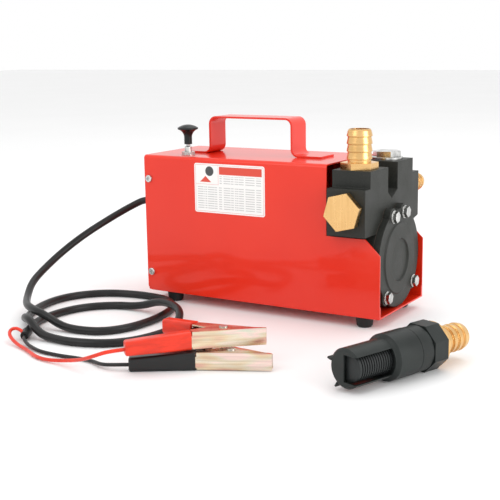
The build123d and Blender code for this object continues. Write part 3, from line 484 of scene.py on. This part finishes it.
class PUMP_OT_stage(bpy.types.Operator):
    """Camera, pale floor and soft studio lights"""

    bl_idname = "pump.stage"
    bl_label = "Stage"

    def execute(self, context):
        studio = context.scene.pump_studio
        self.make_camera(context, studio)
        self.make_floor(context, studio)
        self.make_lights(context, studio)
        return {"FINISHED"}

    def make_camera(self, context, studio):
        """Looks along its azimuth and down by its elevation, then tilts by its roll."""
        turn, down = studio.azimuth, studio.elevation
        ahead = Vector((-math.sin(turn) * math.cos(down), math.cos(turn) * math.cos(down), -math.sin(down)))
        level = Vector((math.cos(turn), math.sin(turn), 0))
        upward = level.cross(ahead)
        right = math.cos(studio.roll) * level + math.sin(studio.roll) * upward
        above = -math.sin(studio.roll) * level + math.cos(studio.roll) * upward
        camera = bpy.data.objects.new("camera", bpy.data.cameras.new("camera"))
        camera.data.lens = studio.lens
        camera.data.sensor_width = studio.sensor_width
        axes = Matrix((right, above, -ahead)).transposed().to_4x4()
        camera.matrix_world = Matrix.Translation(studio.camera_place) @ axes
        context.scene.collection.objects.link(camera)
        context.scene.camera = camera

    def make_floor(self, context, studio):
        """A flat square: corners at plus and minus the floor radius."""
        reach = studio.floor_radius
        corners = np.array([(-1, -1, 0), (1, -1, 0), (1, 1, 0), (-1, 1, 0)]) * reach
        mesh = bpy.data.meshes.new("studio_floor")
        mesh.from_pydata(corners.tolist(), [], [(0, 1, 2, 3)])
        g = Graph("studio_floor")
        soft = g.ramp(g.noise(3, 2), (0.3, 0), (0.7, 1))
        paler = tuple(0.985 * part for part in studio.floor_colour)
        g.set(Base_Color=g.mix(soft, studio.floor_colour, paler), Roughness=0.7)
        mesh.materials.append(g.material)
        floor = bpy.data.objects.new("studio_floor", mesh)
        context.scene.collection.objects.link(floor)

    def make_lights(self, context, studio):
        """A bright pale room with a key, a side and a top softbox."""
        world = bpy.data.worlds.new("studio_room")
        world.use_nodes = True
        room = world.node_tree.nodes["Background"]
        room.inputs["Color"].default_value = (1, 1, 1, 1)
        room.inputs["Strength"].default_value = studio.room_light
        context.scene.world = world
        context.scene.view_settings.view_transform = "Standard"
        boxes = (
            ("key_softbox", (-0.7, -1.9, 1.5), 1.4, 9),
            ("side_softbox", (2.0, -0.2, 0.7), 1.2, 16),
            ("top_softbox", (0.0, 0.6, 2.0), 1.6, 9),
        )
        for name, place, side, power in boxes:
            lamp = bpy.data.lights.new(name, "AREA")
            lamp.energy = power
            lamp.size = side
            softbox = bpy.data.objects.new(name, lamp)
            softbox.location = place
            aim = Vector((0, 0, studio.light_aim)) - Vector(place)
            softbox.rotation_euler = aim.to_track_quat("-Z", "Y").to_euler()
            context.scene.collection.objects.link(softbox)


class PUMP_OT_cords(bpy.types.Operator):
    """The battery cable and the red and black wires to its clamps"""

    bl_idname = "pump.cords"
    bl_label = "Cable and wires"

    def execute(self, context):
        tints, sizes = context.scene.pump_colours, context.scene.pump_cords
        jacket = rubber_finish("cable_jacket", tints.rubber, (0.3, 0.42), 900, 0)
        give(rubber_finish("breakout_rubber", tints.rubber, (0.4, 0.5)), "cable_breakout")
        lay_cord(
            "battery_cable", "power_cable", cable_route, sizes.cable_diameter,
            jacket,
        )
        clamp_parts = ("jaw", "lever", "sleeve", "lever_sleeve")
        for sign, route, length, tint in (
            ("positive", positive_route, sizes.red_length, tints.red_sleeve),
            ("negative", negative_route, sizes.black_length, tints.black_sleeve),
        ):
            jacket = sleeve_finish(f"{sign}_wire_jacket", tint)
            parts = [f"{sign}_{part}" for part in clamp_parts]
            if sign == "positive":
                parts += ["clamp_rivets", "clamp_springs"]
            lay_cord(
                f"{sign}_lead", f"{sign}_wire", route, sizes.wire_diameter, jacket,
            )
        return {"FINISHED"}


class PUMP_OT_cabinet(bpy.types.Operator):
    """Finishes of the folded cabinet, its handle, label, screws, feet and switch"""

    bl_idname = "pump.cabinet"
    bl_label = "Cabinet"

    def execute(self, context):
        tints = context.scene.pump_colours
        give(enamel_finish(tints), "cabinet_cover", "base_tray", "carry_handle")
        give(zinc_finish(tints), "cover_screws", "foot_screws", "switch_nut", "pull_switch", "saddle_bolts")
        give(steel_finish("plunger_steel", (0.6, 0.6, 0.6), (0, 0, 1)), "switch_plunger")
        give(rubber_finish("knob_plastic", tints.knob, (0.26, 0.4), 400), "pull_knob")
        give(rubber_finish("foot_rubber", tints.rubber), "rubber_feet", "cable_gland", "motor_saddle")
        give(label_finish(tints, *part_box("info_label")), "info_label")
        return {"FINISHED"}


class PUMP_OT_pump_head(bpy.types.Operator):
    """Finishes of the pump castings, plugs, hose tails and the parts inside"""

    bl_idname = "pump.pump_head"
    bl_label = "Pump head"

    def execute(self, context):
        tints = context.scene.pump_colours
        give(casting_finish(tints), "pump_body", "pump_cover")
        give(milled_brass_finish(tints), "bypass_plug")
        give(brass_finish(tints, "inlet_brass", (0, 0, 1)), "inlet_tail")
        give(brass_finish(tints, "outlet_brass", (0, 1, 0)), "outlet_tail", "bypass_poppet")
        bright = zinc_finish(tints, "bright_zinc", (0.12, 0.26))
        give(bright, "cover_bolts", "priming_plug", "priming_washer", "bypass_washer", "bypass_spring")
        give(steel_finish("rotor_steel", (0.5, 0.5, 0.5), (0, 1, 0)), "pump_rotor", "shaft_bearings")
        give(rubber_finish("vane_carbon", (0.03, 0.03, 0.03)), "pump_vanes", "carbon_brushes")
        give(rubber_finish("gasket_paper", (0.06, 0.045, 0.035), (0.7, 0.85)), "cover_gasket")
        give(rubber_finish("seal_rubber", (0.015, 0.015, 0.015)), "shaft_seal")
        return {"FINISHED"}


class PUMP_OT_motor(bpy.types.Operator):
    """Finishes of the motor inside the cabinet"""

    bl_idname = "pump.motor"
    bl_label = "Motor"

    def execute(self, context):
        tints = context.scene.pump_colours
        paint = rubber_finish("motor_paint", (0.02, 0.02, 0.02), (0.3, 0.42), 300)
        give(paint, "motor_can", "motor_end_bell")
        give(zinc_finish(tints, "motor_zinc"), "motor_bolts")
        give(steel_finish("stacked_steel", (0.3, 0.3, 0.3), (1, 0, 0), 0.4), "armature", "drive_shaft")
        give(steel_finish("copper_bars", (0.75, 0.3, 0.14), (0, 1, 0)), "commutator")
        give(casting_finish(tints), "motor_magnets")
        return {"FINISHED"}


class PUMP_OT_clamps(bpy.types.Operator):
    """Finishes of the jaws, levers, sleeves, rivets and springs of the two battery clamps"""

    bl_idname = "pump.clamps"
    bl_label = "Battery clamps"

    def execute(self, context):
        tints = context.scene.pump_colours
        for sign, tint in (("positive", tints.red_sleeve), ("negative", tints.black_sleeve)):
            zinc = jaw_finish(f"{sign}_jaw_zinc", clamp_turns[sign])
            give(zinc, f"{sign}_jaw", f"{sign}_lever")
            vinyl = sleeve_finish(f"{sign}_sleeve_vinyl", tint)
            give(vinyl, f"{sign}_sleeve", f"{sign}_lever_sleeve")
        give(zinc_finish(tints, "rivet_zinc"), "clamp_rivets", "clamp_springs")
        return {"FINISHED"}


class PUMP_OT_strainer(bpy.types.Operator):
    """Finishes of the loose suction strainer"""

    bl_idname = "pump.strainer"
    bl_label = "Suction strainer"

    def execute(self, context):
        tints = context.scene.pump_colours
        shell = rubber_finish("strainer_plastic", tints.strainer, (0.36, 0.5), 500, 0.0008)
        give(shell, "strainer_cage", "strainer_body", "strainer_nut")
        screen = rubber_finish("screen_plastic", (0.012, 0.014, 0.014), (0.4, 0.5), 700, 0)
        give(screen, "strainer_screen", "check_poppet")
        axis = (math.cos(strainer_turn), math.sin(strainer_turn), 0)
        give(brass_finish(tints, "strainer_brass", axis), "strainer_tail")
        give(zinc_finish(tints, "spring_zinc"), "check_spring")
        return {"FINISHED"}


class PUMP_PT_panel(bpy.types.Panel):
    """Sizes, colours and build steps of the pump"""

    bl_idname = "PUMP_PT_panel"
    bl_label = "Fluid Transfer Pump"
    bl_space_type = "VIEW_3D"
    bl_region_type = "UI"
    bl_category = "Pump"

    def draw(self, context):
        for group in settings(context):
            box = self.layout.box()
            for key in group.__annotations__:
                box.prop(group, key)
        for operator in build_steps:
            self.layout.operator(operator.bl_idname)


build_steps = (
    PUMP_OT_stage, PUMP_OT_clamps, PUMP_OT_cords, PUMP_OT_cabinet, PUMP_OT_pump_head, PUMP_OT_motor,
    PUMP_OT_strainer,
)
property_groups = (PumpColours, CordSizes, StudioSettings)


def register():
    """Adds the classes and gives the scene its property groups."""
    for cls in (*property_groups, *build_steps, PUMP_PT_panel):
        bpy.utils.register_class(cls)
    bpy.types.Scene.pump_colours = PointerProperty(type=PumpColours)
    bpy.types.Scene.pump_cords = PointerProperty(type=CordSizes)
    bpy.types.Scene.pump_studio = PointerProperty(type=StudioSettings)


def unregister():
    """Takes away the scene's property groups and the classes."""
    for name in ("pump_colours", "pump_cords", "pump_studio"):
        delattr(bpy.types.Scene, name)
    for cls in (PUMP_PT_panel, *reversed(build_steps), *reversed(property_groups)):
        bpy.utils.unregister_class(cls)


def main():
    register()
    for operator in build_steps:
        group, action = operator.bl_idname.split(".")
        getattr(getattr(bpy.ops, group), action)()


if __name__ == "__main__":
    main()
